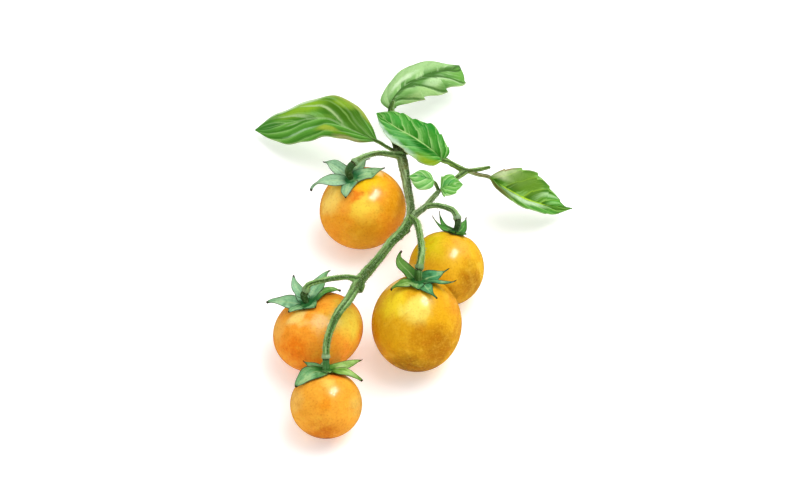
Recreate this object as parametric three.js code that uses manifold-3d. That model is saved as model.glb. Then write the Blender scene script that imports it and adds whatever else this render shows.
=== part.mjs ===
// A cut sprig of cherry tomatoes that lies on a flat surface: five ripe fruits on one truss, with its leaves.
// Millimetres, +Z up, the surface at z = 0, and the origin in the middle of the sprig's footprint.
// The stem lies over the fruits, which carry the sprig, and the leaves droop towards the surface.
import * as THREE from "three";
import { mergeVertices } from "three/addons/utils/BufferGeometryUtils.js";
import Module from "manifold-3d";

const wasm = await Module();
wasm.setup();

// Driving dimensions.
const GAP = 0.35; // air between pieces that touch
const FRUIT_SIDES = 24; // round the stalk
const FRUIT_BANDS = 14; // from the blossom end to the stalk end
const DIMPLE_DEPTH = 1.2; // the hollow that the stalk sits in
const DIMPLE_SPREAD = 3.6;
const HUB_RADIUS = 3; // the middle of a calyx, where its sepals meet
const HUB_HEIGHT = 1;
const HUB_SIDES = 12;
const SEPAL_THICK = 0.7;
const SEPAL_STEPS = 5;
const SEPAL_CUP = 0.35; // how far a sepal's sides stand over its middle at the tip
const LEAF_THICK = 0.7;
const LEAF_STEPS = 21; // along a leaf, from its base to its tip
const LEAFLET_STEPS = 10;
const LEAF_ARCH = 0.12; // rise of each half between rib and margin, as a share of its width
const TWIG_SIDES = 8;
const TWIG_STEP = 2.6; // length of one ring of a twig
const RIB_SIDES = 6;
const RIB_STEP = 4;
const RIB_DROP = 0.3; // how far the rib's middle lies under the blade's

// Fruits: centre, direction of the stalk end, radius round the stalk and half height along it.
// Sepals: bearing round the stalk and reach down the fruit in degrees, then lift of the tip and width.
const FRUITS = {
  fruit_1: {
    centre: [-17, 12.5, 13.2],
    stalk: [-0.29, 0.18, 0.94],
    girth: 14.6,
    tall: 13.3,
    colour: 0xf0a526,
    sepals: [
      [26, 50, 1.4, 5], [74, 52, 3, 4], [136, 40, 6, 5], [188, 46, 4.5, 5], [252, 34, 0.3, 5.5],
    ],
  },
  fruit_2: {
    centre: [11, -13, 12.3],
    stalk: [0.24, 0.67, 0.69],
    girth: 12.6,
    tall: 12.6,
    colour: 0xecc02c,
    sepals: [
      [34, 24, 5.5, 4.5], [164, 32, 7, 4], [210, 34, 5.5, 4.5], [288, 32, 0.4, 5], [338, 26, 0.8, 4],
    ],
  },
  fruit_3: {
    centre: [-31.5, -40, 12.1],
    stalk: [-0.3, 0.28, 0.91],
    girth: 15.2,
    tall: 12,
    colour: 0xf59a28,
    sepals: [
      [44, 70, 0.6, 5], [76, 62, 8, 4], [112, 28, 8, 4.5],
      [168, 44, 6, 5.5], [204, 30, 0.6, 4.5], [300, 26, 0.3, 4.5],
    ],
  },
  fruit_4: {
    centre: [1, -39.5, 15.7],
    stalk: [0.03, 0.38, 0.92],
    girth: 14.9,
    tall: 16.2,
    colour: 0xe8b022,
    sepals: [
      [4, 44, 3.6, 5], [46, 44, 6, 5.5], [120, 30, 8, 5.5],
      [206, 38, 2.2, 5.5], [262, 26, 0.3, 5], [314, 40, 0.5, 6],
    ],
  },
  fruit_5: {
    centre: [-28.5, -69.5, 11.1],
    stalk: [0, 0.7, 0.72],
    girth: 11.7,
    tall: 11.2,
    colour: 0xf2a040,
    sepals: [
      [32, 46, 7, 5], [96, 28, 3, 4.5], [148, 34, 4.5, 4.5],
      [206, 62, 1.4, 6.5], [278, 34, 0.4, 5], [344, 58, 2.6, 5],
    ],
  },
};

// Twigs: points along the middle, and radii evenly spaced from the first point to the last.
// A twig that bears a fruit is led on down to that fruit's calyx, and swells at the knuckle before it.
const TWIGS = {
  mainStem: {
    points: [[-5, 31.5, 21], [-4, 28.5, 21], [-3, 22, 21.5], [-2, 13.5, 22.5], [-1, 4.5, 24], [-1, -2, 25]],
    radii: [1.6, 1.75, 1.5, 1.4, 1.35, 1.5],
  },
  lowerStem: {
    points: [
      [-1, -2, 25], [-4, -9, 26], [-7, -13, 26.5], [-11.5, -21.5, 27.5], [-17.5, -31.5, 28.5],
      [-21.5, -41, 29.5], [-24.5, -46, 29.5], [-26.5, -50.5, 28.5], [-28, -54.5, 26.5], [-28.5, -57.5, 23.5],
    ],
    radii: [1.6, 1.65, 1.6, 1.5, 1.5, 1.8, 1.4, 1.3, 1.2, 1.1, 1.1, 1.3, 1.2],
    bears: "fruit_5",
  },
  firstPedicel: {
    points: [
      [-4.5, 28.5, 21.5], [-7.5, 27.5, 23.5], [-11.5, 25.5, 26.5], [-16, 22, 29], [-19, 19, 30],
      [-21, 17, 29.5],
    ],
    radii: [1.2, 1, 0.9, 0.9, 0.9, 1.35, 1.05],
    bears: "fruit_1",
  },
  secondPedicel: {
    points: [[4, 4, 24], [6.5, 4.5, 24], [8.5, 4, 24.5], [11.5, 2.5, 25], [13.5, 1, 25]],
    radii: [0.9, 0.9, 0.9, 1, 1.3, 1.05],
    bears: "fruit_2",
  },
  thirdPedicel: {
    points: [
      [-17.5, -31.5, 28.5], [-22, -31.5, 30], [-30.5, -33.5, 30.5], [-34.5, -34.5, 29.5], [-35.5, -35.5, 27],
    ],
    radii: [1.2, 0.95, 0.9, 0.9, 0.9, 1.3, 1],
    bears: "fruit_3",
  },
  fourthPedicel: {
    points: [[-1, -2, 25], [1, -6, 27.5], [2, -14, 31], [2.5, -21, 33.5], [2.5, -27, 35]],
    radii: [1.4, 1.15, 1.1, 1.1, 1.1, 1.45, 1.2],
    bears: "fruit_4",
  },
  sideBranch: {
    points: [[-1, -2, 25], [1.5, 1, 24.5], [4, 4, 24], [6, 8, 23], [8.5, 13, 21.5]],
    radii: [1.3, 1.1, 1, 0.9, 0.8],
  },
  leafStalk: {
    points: [
      [-4, 30, 21], [-1, 30, 20.3], [4, 28.5, 19.5], [9, 27, 18.8], [13.5, 26, 18.5], [18, 25, 18],
      [22, 26.5, 17], [26, 28, 16.5],
    ],
    radii: [1.2, 1, 0.9, 0.9, 0.9, 0.6, 0.4],
  },
};

// Leaves: the petiole from the twig to the blade, then the rib and the two edges from the blade's base to
// its tip.
const LEAVES = {
  leaf_left: {
    petiole: [[-7.1, 31.1, 21.4], [-10, 33.5, 21], [-13.5, 36, 20.5]],
    rib: [
      [-13.5, 36, 20.5], [-23, 42.5, 20], [-28.5, 47.5, 18.5], [-34, 50.5, 15.5], [-39.5, 52.5, 12],
      [-45.5, 54, 8.5], [-50.5, 55.5, 5], [-54.5, 56.5, 3],
    ],
    far: [
      [-13.5, 36, 20.5], [-14, 42, 21.5], [-17.5, 49.5, 21], [-22.5, 55.5, 20], [-29, 58.5, 18.5],
      [-37.5, 58.5, 15], [-44, 58.5, 11], [-49, 59, 7], [-54.5, 56.5, 3],
    ],
    near: [
      [-13.5, 36, 20.5], [-19, 36.5, 19.5], [-24, 39, 18.5], [-29.5, 41.5, 16.5], [-35, 43, 13],
      [-40.5, 45, 9], [-45, 47.5, 6.5], [-49.5, 51.5, 4.5], [-54.5, 56.5, 3],
    ],
    stalkRadius: 0.9,
    teeth: 0,
    toothDepth: 0,
    waves: 5,
    waveHeight: 0.5,
    steps: LEAF_STEPS,
    colour: 0x5c9a3c,
  },
  leaf_top: {
    petiole: [[-5.2, 31.95, 21], [-5.8, 35, 20.6], [-6.6, 42, 19], [-7.5, 52, 18]],
    rib: [
      [-7.5, 52, 18], [-7, 56, 19], [-4.5, 60.5, 19], [-1.5, 64, 19], [1.5, 66.5, 18], [6, 71, 16],
      [10.5, 75, 13], [13.5, 78, 10.5], [16, 82, 8],
    ],
    far: [
      [-7.5, 52, 18], [-11, 56, 18], [-10, 61, 18], [-7, 67, 17.5], [-4, 71.5, 17], [0.5, 75.5, 16],
      [5.5, 78.5, 14], [12, 80.5, 10.5], [16, 82, 8],
    ],
    near: [
      [-7.5, 52, 18], [-4.5, 55.5, 16.5], [-0.5, 57, 16], [3, 58.5, 15.5], [6, 62, 14.5], [10.5, 65.5, 12.5],
      [14.5, 69, 10.5], [17.5, 74, 8.5], [16, 82, 8],
    ],
    stalkRadius: 1,
    teeth: 4,
    toothDepth: 0.8,
    waves: 3,
    waveHeight: 0.9,
    steps: LEAF_STEPS,
    colour: 0x8db678,
  },
  leaf_middle: {
    petiole: [[13.8, 26.1, 20.4], [12.2, 26.4, 20.7], [10, 27, 21]],
    rib: [
      [10, 27, 21], [6.5, 29, 23.5], [2, 31.5, 25.5], [-1.5, 33.5, 26.5], [-5, 36, 26.5], [-9, 40.5, 25.5],
      [-12.5, 46.5, 23],
    ],
    far: [
      [10, 27, 21], [12, 28.5, 23], [10, 32.5, 25.5], [7, 36.5, 27], [2.5, 38, 28], [-3, 41.5, 27.5],
      [-8, 45, 25.5], [-12.5, 46.5, 23],
    ],
    near: [
      [10, 27, 21], [6.5, 23, 23], [2.5, 22.5, 25], [-1.5, 24.5, 26.5], [-5, 27, 27], [-8, 31, 27],
      [-11, 38, 26], [-12.5, 46.5, 23],
    ],
    stalkRadius: 0.8,
    teeth: 7,
    toothDepth: 0.7,
    waves: 3,
    waveHeight: 0.4,
    steps: LEAF_STEPS,
    colour: 0x4f9a35,
  },
  leaf_right: {
    petiole: [[19.9, 24.1, 16.4], [22, 24.3, 16.2], [25.5, 24, 16]],
    rib: [
      [25.5, 24, 16], [30, 19.5, 16], [34, 17.5, 14.5], [38, 17, 12], [42, 17.5, 9.5], [46, 18.5, 7],
      [49.5, 20, 5], [54, 21.5, 2.5],
    ],
    far: [
      [25.5, 24, 16], [29, 24.5, 18], [33.5, 26, 18], [38.5, 26, 16.5], [43, 25.5, 14], [46, 23.5, 10.5],
      [49.5, 22.5, 7.5], [54, 21.5, 2.5],
    ],
    near: [
      [25.5, 24, 16], [27, 19.5, 17], [30, 15.5, 17], [34.5, 12.5, 15.5], [39, 13, 12.5], [44.5, 13.5, 9],
      [49.5, 17.5, 5], [54, 21.5, 2.5],
    ],
    stalkRadius: 0.8,
    teeth: 6,
    toothDepth: 0.8,
    waves: 3,
    waveHeight: 0.4,
    steps: LEAF_STEPS,
    colour: 0x55863a,
  },
  leaflet_1: {
    petiole: [[8.2, 13.4, 22.7], [7.6, 13.6, 23.9], [7, 14, 25]],
    rib: [[7, 14, 25], [4.5, 14.5, 26], [2, 15, 26.5], [-1.5, 15.5, 26]],
    far: [[7, 14, 25], [5.5, 16.5, 26.5], [2.5, 18, 26.5], [-1.5, 15.5, 26]],
    near: [[7, 14, 25], [6, 10.5, 26], [1.5, 10, 26], [-1.5, 15.5, 26]],
    stalkRadius: 0.6,
    teeth: 0,
    toothDepth: 0,
    waves: 1,
    waveHeight: 0.2,
    steps: LEAFLET_STEPS,
    colour: 0x6fae5a,
  },
  leaflet_2: {
    petiole: [[9.7, 13.1, 22.3], [10, 12.9, 23]],
    rib: [[9, 12.5, 23], [11.5, 13, 24], [14, 13.5, 24], [16.5, 14, 23.5]],
    far: [[9, 12.5, 23], [10, 16.5, 24.5], [13, 17, 24.5], [16.5, 14, 23.5]],
    near: [[9, 12.5, 23], [10.5, 9, 24], [14, 10.5, 24], [16.5, 14, 23.5]],
    stalkRadius: 0.6,
    teeth: 3,
    toothDepth: 0.7,
    waves: 1,
    waveHeight: 0.2,
    steps: LEAFLET_STEPS,
    colour: 0x6fae5a,
  },
};

const STEM_COLOUR = 0x6b8a57;
const CALYX_COLOUR = 0x4f8a4a;

// A closed geometry as a solid.
function solidOf(geometry) {
  const bare = new THREE.BufferGeometry().setAttribute("position", geometry.getAttribute("position"));
  bare.setIndex(geometry.index);
  const merged = mergeVertices(bare, 1e-4);
  const vertProperties = new Float32Array(merged.attributes.position.array);
  const triVerts = new Uint32Array(merged.index.array);
  return new wasm.Manifold(new wasm.Mesh({ numProp: 3, vertProperties, triVerts }));
}

// A solid as a named mesh with flat faces.
function meshOf(name, solid, color, roughness) {
  const { vertProperties, triVerts } = solid.getMesh();
  const shared = new THREE.BufferGeometry();
  shared.setAttribute("position", new THREE.BufferAttribute(vertProperties, 3));
  shared.setIndex(new THREE.BufferAttribute(triVerts, 1));
  const geometry = shared.toNonIndexed();
  geometry.computeVertexNormals();
  const mesh = new THREE.Mesh(geometry, new THREE.MeshStandardMaterial({ color, roughness, metalness: 0 }));
  mesh.name = name;
  return mesh;
}

function joined(solids) {
  return solids.reduce((whole, piece) => whole.add(piece));
}

function vectors(points) {
  return points.map((point) => new THREE.Vector3(...point));
}

// A closed body from rings of equal length: the rings are walled, and each end is closed by a fan.
function ringBody(rings) {
  const sides = rings[0].length;
  const faces = [];
  for (let ring = 0; ring < rings.length - 1; ring += 1) {
    for (let side = 0; side < sides; side += 1) {
      const a = ring * sides + side;
      const b = ring * sides + ((side + 1) % sides);
      faces.push(a, b, b + sides, a, b + sides, a + sides);
    }
  }
  const last = (rings.length - 1) * sides;
  for (let side = 1; side < sides - 1; side += 1) {
    faces.push(0, side + 1, side, last, last + side, last + side + 1);
  }
  const geometry = new THREE.BufferGeometry().setFromPoints(rings.flat());
  geometry.setIndex(faces);
  return solidOf(geometry);
}

// A round twig that follows a curve and changes its radius along it.
function twig(points, radii, sides = TWIG_SIDES, stepLength = TWIG_STEP) {
  const curve = new THREE.CatmullRomCurve3(points);
  const steps = Math.max(2, Math.round(curve.getLength() / stepLength));
  const { normals, binormals } = curve.computeFrenetFrames(steps, false);
  const rings = normals.map((normal, step) => {
    const along = (step / steps) * (radii.length - 1);
    const before = Math.min(Math.floor(along), radii.length - 2);
    const radius = THREE.MathUtils.lerp(radii[before], radii[before + 1], along - before);
    const middle = curve.getPointAt(step / steps);
    return Array.from({ length: sides }, (_, side) => {
      const angle = (side / sides) * 2 * Math.PI;
      return middle
        .clone()
        .addScaledVector(normal, radius * Math.cos(angle))
        .addScaledVector(binormals[step], radius * Math.sin(angle));
    });
  });
  return ringBody(rings);
}

// A thin plate: the rows of points are its middle surface, and both faces are split into the same triangles.
function plate(rows, thick) {
  const wide = rows[0].length;
  const high = rows.length;
  const upper = [];
  const lower = [];
  rows.forEach((row, i) => {
    row.forEach((point, j) => {
      const along = rows[Math.min(i + 1, high - 1)][j].clone().sub(rows[Math.max(i - 1, 0)][j]);
      const across = row[Math.min(j + 1, wide - 1)].clone().sub(row[Math.max(j - 1, 0)]);
      const normal = along.cross(across).normalize();
      upper.push(point.clone().addScaledVector(normal, thick / 2));
      lower.push(point.clone().addScaledVector(normal, -thick / 2));
    });
  });
  const under = upper.length;
  const faces = [];
  for (let i = 0; i < high - 1; i += 1) {
    for (let j = 0; j < wide - 1; j += 1) {
      const [a, b, c, d] = [i * wide + j, i * wide + j + 1, (i + 1) * wide + j, (i + 1) * wide + j + 1];
      faces.push(a, c, b, b, c, d);
      faces.push(under + a, under + b, under + c, under + b, under + d, under + c);
    }
  }
  const rim = [];
  for (let j = 0; j < wide - 1; j += 1) rim.push(j);
  for (let i = 0; i < high - 1; i += 1) rim.push(i * wide + wide - 1);
  for (let j = wide - 1; j > 0; j -= 1) rim.push((high - 1) * wide + j);
  for (let i = high - 1; i > 0; i -= 1) rim.push(i * wide);
  rim.forEach((a, k) => {
    const b = rim[(k + 1) % rim.length];
    faces.push(a, b, under + a, b, under + b, under + a);
  });
  const geometry = new THREE.BufferGeometry().setFromPoints([...upper, ...lower]);
  geometry.setIndex(faces);
  return solidOf(geometry);
}

// A fruit's own directions: up its stalk, and two across it.
function axesOf(fruit) {
  const up = new THREE.Vector3(...fruit.stalk).normalize();
  const right = new THREE.Vector3(1, 0, 0).addScaledVector(up, -up.x).normalize();
  const back = new THREE.Vector3().crossVectors(up, right);
  return { up, right, back };
}

// A profile turned round a fruit's stalk.
function turnedBody(fruit, profile, sides) {
  const { up, right, back } = axesOf(fruit);
  const placed = new THREE.Matrix4().makeBasis(right, up, back.negate()).setPosition(...fruit.centre);
  return solidOf(new THREE.LatheGeometry(profile, sides).applyMatrix4(placed));
}

// A fruit's skin at an angle from its stalk end: distance from the stalk's line, and height along it.
function skin(fruit, polar) {
  const radius = fruit.girth * Math.sin(polar);
  const hollow = polar < Math.PI / 2 ? DIMPLE_DEPTH * Math.exp(-((radius / DIMPLE_SPREAD) ** 2)) : 0;
  return new THREE.Vector2(radius, fruit.tall * Math.cos(polar) - hollow);
}

// The fruit is flattened where it rests on the surface.
function fruitBody(fruit) {
  const profile = [];
  for (let band = 0; band <= FRUIT_BANDS; band += 1) {
    const point = skin(fruit, Math.PI * (1 - band / FRUIT_BANDS));
    const pole = band === 0 || band === FRUIT_BANDS;
    profile.push(pole ? point.setX(0) : point);
  }
  const size = 4 * fruit.girth;
  const [x, y] = fruit.centre;
  const ground = new THREE.BoxGeometry(size, size, size).translate(x, y, -size / 2);
  return turnedBody(fruit, profile, FRUIT_SIDES).subtract(solidOf(ground));
}

// A point over the skin, at a bearing round the stalk.
function overSkin(fruit, bearing, polar, lift) {
  const { up, right, back } = axesOf(fruit);
  const out = right.multiplyScalar(Math.cos(bearing)).addScaledVector(back, Math.sin(bearing));
  const normal = out
    .clone()
    .multiplyScalar(Math.sin(polar) / fruit.girth)
    .addScaledVector(up, Math.cos(polar) / fruit.tall)
    .normalize();
  const spot = skin(fruit, polar);
  return new THREE.Vector3(...fruit.centre)
    .addScaledVector(out, spot.x)
    .addScaledVector(up, spot.y)
    .addScaledVector(normal, lift);
}

// A sepal runs from under the hub out over the skin, widest near a third of the way, and lifts to its tip.
function sepal(fruit, [bearingDegrees, reachDegrees, lift, width]) {
  const bearing = THREE.MathUtils.degToRad(bearingDegrees);
  const reach = THREE.MathUtils.degToRad(reachDegrees);
  const rows = [];
  for (let step = 0; step <= SEPAL_STEPS; step += 1) {
    const t = step / SEPAL_STEPS;
    const polar = THREE.MathUtils.lerp(0.09, reach, t);
    const swell = 0.3 + 0.7 * Math.sin(Math.PI * (0.25 + 0.75 * t) ** 0.8);
    const half = (width / 2) * swell * (1 - t ** 3) + 0.25;
    const turn = half / (fruit.girth * Math.sin(Math.max(polar, 0.2)));
    const rise = GAP + SEPAL_THICK / 2 + lift * t ** 1.7;
    rows.push(
      [-1, 0, 1].map((side) =>
        overSkin(fruit, bearing + side * turn, polar, rise + SEPAL_CUP * Math.abs(side) * t),
      ),
    );
  }
  return plate(rows, SEPAL_THICK);
}

// The hub follows the hollow's floor, and its sepals are fused to it.
function calyxBody(fruit) {
  const floor = skin(fruit, 0).y + GAP;
  const rim = skin(fruit, Math.asin(HUB_RADIUS / fruit.girth)).y + GAP;
  const profile = [
    new THREE.Vector2(0, floor),
    new THREE.Vector2(HUB_RADIUS, rim),
    new THREE.Vector2(0.8 * HUB_RADIUS, rim + 0.8 * HUB_HEIGHT),
    new THREE.Vector2(0, floor + HUB_HEIGHT),
  ];
  return joined([turnedBody(fruit, profile, HUB_SIDES), ...fruit.sepals.map((shape) => sepal(fruit, shape))]);
}

// Where a stalk ends: just over the hub, coming down the fruit's own direction.
function stalkEnd(fruit) {
  const { up } = axesOf(fruit);
  const end = overSkin(fruit, 0, 0, 2 * GAP + HUB_HEIGHT);
  return [end.clone().addScaledVector(up, 3), end];
}

// All the twigs grow from one another, so they are one body.
function stemBody() {
  return joined(
    Object.values(TWIGS).map(({ points, radii, bears }) => {
      const ends = bears ? stalkEnd(FRUITS[bears]) : [];
      return twig([...vectors(points), ...ends], radii);
    }),
  );
}

// A blade is drawn between its rib and its two edges, with teeth that point forward and a waved margin.
function blade(leaf) {
  const [far, rib, near] = [leaf.far, leaf.rib, leaf.near].map(
    (points) => new THREE.CatmullRomCurve3(vectors(points)),
  );
  const rows = [];
  for (let step = 0; step <= leaf.steps; step += 1) {
    const t = THREE.MathUtils.lerp(0.03, 0.98, step / leaf.steps);
    const fade = Math.sin(Math.PI * t);
    const middle = rib.getPointAt(t);
    const [farHalf, nearHalf] = [far, near].map((edge, side) => {
      const margin = edge.getPointAt(t);
      const out = margin.clone().sub(middle).normalize();
      margin.addScaledVector(out, leaf.toothDepth * ((leaf.teeth * t) % 1) * fade);
      margin.z += leaf.waveHeight * Math.sin(2 * Math.PI * leaf.waves * t + 2 * side) * fade;
      const between = middle.clone().lerp(margin, 0.5);
      between.z += LEAF_ARCH * middle.distanceTo(margin);
      return [between, margin];
    });
    rows.push([farHalf[1], farHalf[0], middle, ...nearHalf]);
  }
  return plate(rows, LEAF_THICK);
}

// The petiole runs on under the blade as its rib.
function leafBody(leaf) {
  const under = vectors(leaf.rib).slice(1, -1);
  under.forEach((point) => point.setZ(point.z - RIB_DROP));
  const radii = [1, 1, 0.8, 0.6, 0.4].map((share) => share * leaf.stalkRadius);
  return joined([blade(leaf), twig([...vectors(leaf.petiole), ...under], radii, RIB_SIDES, RIB_STEP)]);
}

const sprig = new THREE.Group();
sprig.add(meshOf("stem", stemBody(), STEM_COLOUR, 0.8));
Object.entries(FRUITS).forEach(([name, fruit]) => {
  sprig.add(meshOf(name, fruitBody(fruit), fruit.colour, 0.25));
  sprig.add(meshOf(name.replace("fruit", "calyx"), calyxBody(fruit), CALYX_COLOUR, 0.7));
});
Object.entries(LEAVES).forEach(([name, leaf]) => {
  sprig.add(meshOf(name, leafBody(leaf), leaf.colour, 0.6));
});

export default sprig;
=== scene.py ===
"""A cut sprig of cherry tomatoes that lies on a pale table. Metres, +Z up, the table at z = 0."""
import math
from itertools import accumulate

import bpy
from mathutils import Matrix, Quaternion, Vector
from mathutils.kdtree import KDTree


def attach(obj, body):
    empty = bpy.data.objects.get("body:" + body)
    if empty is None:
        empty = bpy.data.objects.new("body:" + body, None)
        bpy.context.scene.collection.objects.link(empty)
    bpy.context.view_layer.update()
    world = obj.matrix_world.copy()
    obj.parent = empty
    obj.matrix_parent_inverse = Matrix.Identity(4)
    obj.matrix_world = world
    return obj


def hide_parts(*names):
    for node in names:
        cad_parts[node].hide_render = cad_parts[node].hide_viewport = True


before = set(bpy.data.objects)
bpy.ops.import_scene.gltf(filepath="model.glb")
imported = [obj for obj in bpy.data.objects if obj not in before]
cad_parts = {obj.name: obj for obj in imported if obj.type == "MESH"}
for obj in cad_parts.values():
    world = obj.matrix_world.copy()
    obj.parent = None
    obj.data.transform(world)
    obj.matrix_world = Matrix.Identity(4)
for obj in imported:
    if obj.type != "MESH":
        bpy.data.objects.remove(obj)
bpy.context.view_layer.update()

# The twigs: one growth of main stem, fruit stalks, side branch and leaf stalk, cut across at its top end.
# Ribbed green flesh, woody and flecked where it is old. It thickens at each fork, and every fruit stalk has a
# knuckle just before its fruit, where a ripe fruit snaps off.
MM = 0.001


class Tap:
    """One output of a node. Arithmetic with taps and numbers adds Math nodes beside it."""

    def __init__(self, graph, socket):
        self.graph = graph
        self.socket = socket

    def __getitem__(self, name):
        """Another output of the same node."""
        return Tap(self.graph, self.graph.socket(self.socket.node.outputs, name))

    def math(self, operation, other=0.0, first=False):
        """A Math node on this tap and another value, which comes first where the order asks for it."""
        pair = (other, self) if first else (self, other)
        return self.graph.node("ShaderNodeMath", dict(enumerate(pair)), operation=operation)

    def __add__(self, other):
        return self.math("ADD", other)

    def __sub__(self, other):
        return self.math("SUBTRACT", other)

    def __rsub__(self, other):
        return self.math("SUBTRACT", other, first=True)

    def __mul__(self, other):
        return self.math("MULTIPLY", other)

    def __rtruediv__(self, other):
        return self.math("DIVIDE", other, first=True)

    def __pow__(self, other):
        return self.math("POWER", other)

    __radd__ = __add__
    __rmul__ = __mul__


class Graph:
    """A tree of shader or geometry nodes, which grows one node at a time."""

    def __init__(self, tree, material=None):
        self.tree = tree
        self.material = material

    def socket(self, sockets, name):
        if isinstance(name, int):
            return sockets[name]
        return next(s for s in sockets if s.enabled and name in (s.name, s.identifier))

    def node(self, kind, values=None, **settings):
        """Adds a node: its settings are made first, then its sockets' values and links."""
        made = self.tree.nodes.new(kind)
        for name, value in settings.items():
            setattr(made, name, value)
        for name, value in (values or {}).items():
            socket = self.socket(made.inputs, name)
            if isinstance(value, Tap):
                self.tree.links.new(value.socket, socket)
            else:
                socket.default_value = value
        outputs = [s for s in made.outputs if s.enabled]
        return Tap(self, outputs[0]) if outputs else None

    def place(self):
        """Where a point is on its piece."""
        return self.node("ShaderNodeTexCoord")["Object"]

    def given(self, name, output="Vector"):
        """What the mesh says of itself at a point."""
        return self.node("ShaderNodeAttribute", attribute_name=name)[output]

    def axes(self, vector):
        parts = self.node("ShaderNodeSeparateXYZ", {"Vector": vector})
        return parts["X"], parts["Y"], parts["Z"]

    def vectors(self, operation, first, second):
        """Vector maths on two vectors. A distance comes out as a number."""
        made = self.node("ShaderNodeVectorMath", {0: first, 1: second}, operation=operation)
        return made["Value" if operation == "DISTANCE" else "Vector"]

    def noise(self, place, scale, detail=3, distortion=0):
        """A cloudy value from 0 to 1, about half on average."""
        values = {"Vector": place, "Scale": scale, "Detail": detail, "Distortion": distortion}
        return self.node("ShaderNodeTexNoise", values)

    def fade(self, value, start, end, low=0, high=1):
        """A soft step from low at start to high at end."""
        values = {"Value": value, "From Min": start, "From Max": end, "To Min": low, "To Max": high}
        return self.node("ShaderNodeMapRange", values, interpolation_type="SMOOTHSTEP")

    def tint(self, share, under, over, way="MIX"):
        """One colour laid over another."""
        values = {"Factor": share, "A": under, "B": over}
        return self.node("ShaderNodeMix", values, data_type="RGBA", blend_type=way)

    def stained(self, colour, *stains):
        """Stains laid over a colour, one on another. Each is its colour, the value that it follows, that value
        where the stain begins and where it is full, and its share there."""
        for stain, value, start, full, share in stains:
            stain = dye(stain) if isinstance(stain, str) else stain
            colour = self.tint(self.fade(value, start, full, 0, share), colour, stain)
        return colour


def dye(code):
    """A colour from its hexadecimal code, as Blender's linear light."""
    parts = [int(code[i : i + 2], 16) / 255 for i in (0, 2, 4)]
    return (*(p / 12.92 if p < 0.04045 else ((p + 0.055) / 1.055) ** 2.4 for p in parts), 1.0)


def finish_of(name):
    """The graph of a new material, with no nodes yet."""
    material = bpy.data.materials.new(name)
    material.use_nodes = True
    material.node_tree.nodes.clear()
    return Graph(material.node_tree, material)


def coat(graph, colour, roughness, height, depth, **fixed):
    """The surface shader: colour, roughness and relief vary, and the fixed values are set on its sockets.
    It ends the graph, so the material is handed back."""
    relief = graph.node("ShaderNodeBump", {"Strength": 1.0, "Distance": depth, "Height": height})
    values = {"Base Color": colour, "Roughness": roughness, "Normal": relief}
    values.update({name.replace("_", " "): value for name, value in fixed.items()})
    surface = graph.node("ShaderNodeBsdfPrincipled", values)
    graph.node("ShaderNodeOutputMaterial", {"Surface": surface})
    return graph.material


def course(points, samples=24):
    """Closely spaced points of the smooth curve through the given points."""
    pts = [Vector(p) for p in points]
    pts = [2 * pts[0] - pts[1], *pts, 2 * pts[-1] - pts[-2]]
    line = []
    for a, b, c, d in zip(pts, pts[1:], pts[2:], pts[3:]):
        ab, bc, cd = (math.sqrt((q - p).length) for p, q in ((a, b), (b, c), (c, d)))
        leave = ((b - a) / ab - (c - a) / (ab + bc) + (c - b) / bc) * bc
        arrive = ((c - b) / bc - (d - b) / (bc + cd) + (d - c) / cd) * bc
        for k in range(samples):
            t = k / samples
            line.append(
                b + leave * t + (3 * (c - b) - 2 * leave - arrive) * t**2 + (2 * (b - c) + leave + arrive) * t**3
            )
    return [*line, pts[-2]]


def evenly(points, count):
    """The smooth curve through the points as count equal steps."""
    line = course(points)
    gone = list(accumulate(((b - a).length for a, b in zip(line, line[1:])), initial=0.0))
    spots = []
    i = 0
    for k in range(count + 1):
        target = gone[-1] * k / count
        while i < len(line) - 2 and gone[i + 1] < target:
            i += 1
        spots.append(line[i].lerp(line[i + 1], (target - gone[i]) / (gone[i + 1] - gone[i])))
    return spots, gone[-1]


def between(values, share):
    """A value at a share of the way along evenly spaced values."""
    along = share * (len(values) - 1)
    i = min(int(along), len(values) - 2)
    return values[i] + (values[i + 1] - values[i]) * (along - i)


def bell(away, spread):
    """A smooth hump, 1 in its middle and nearly nothing at twice its spread."""
    return math.exp(-((away / spread) ** 2))


# The fruits' forms, in millimetres: centre, the way the stalk leaves, radius round the stalk and half height.
FRUIT_FORMS = {
    1: ((-17, 12.5, 13.2), (-0.29, 0.18, 0.94), 14.6, 13.3),
    2: ((11, -13, 12.3), (0.24, 0.67, 0.69), 12.6, 12.6),
    3: ((-31.5, -40, 12.1), (-0.3, 0.28, 0.91), 15.2, 12),
    4: ((1, -39.5, 15.7), (0.03, 0.38, 0.92), 14.9, 16.2),
    5: ((-28.5, -69.5, 11.1), (0, 0.7, 0.72), 11.7, 11.2),
}
AIR = 0.35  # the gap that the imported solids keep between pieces
DIMPLE = 1.2  # depth of the hollow at a fruit's stalk
DIMPLE_SPREAD = 3.6
STALK_END = AIR + 1  # where a stalk ends, over the skin of the hollow
STALK_STRAIGHT = 3  # its straight last stretch


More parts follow.
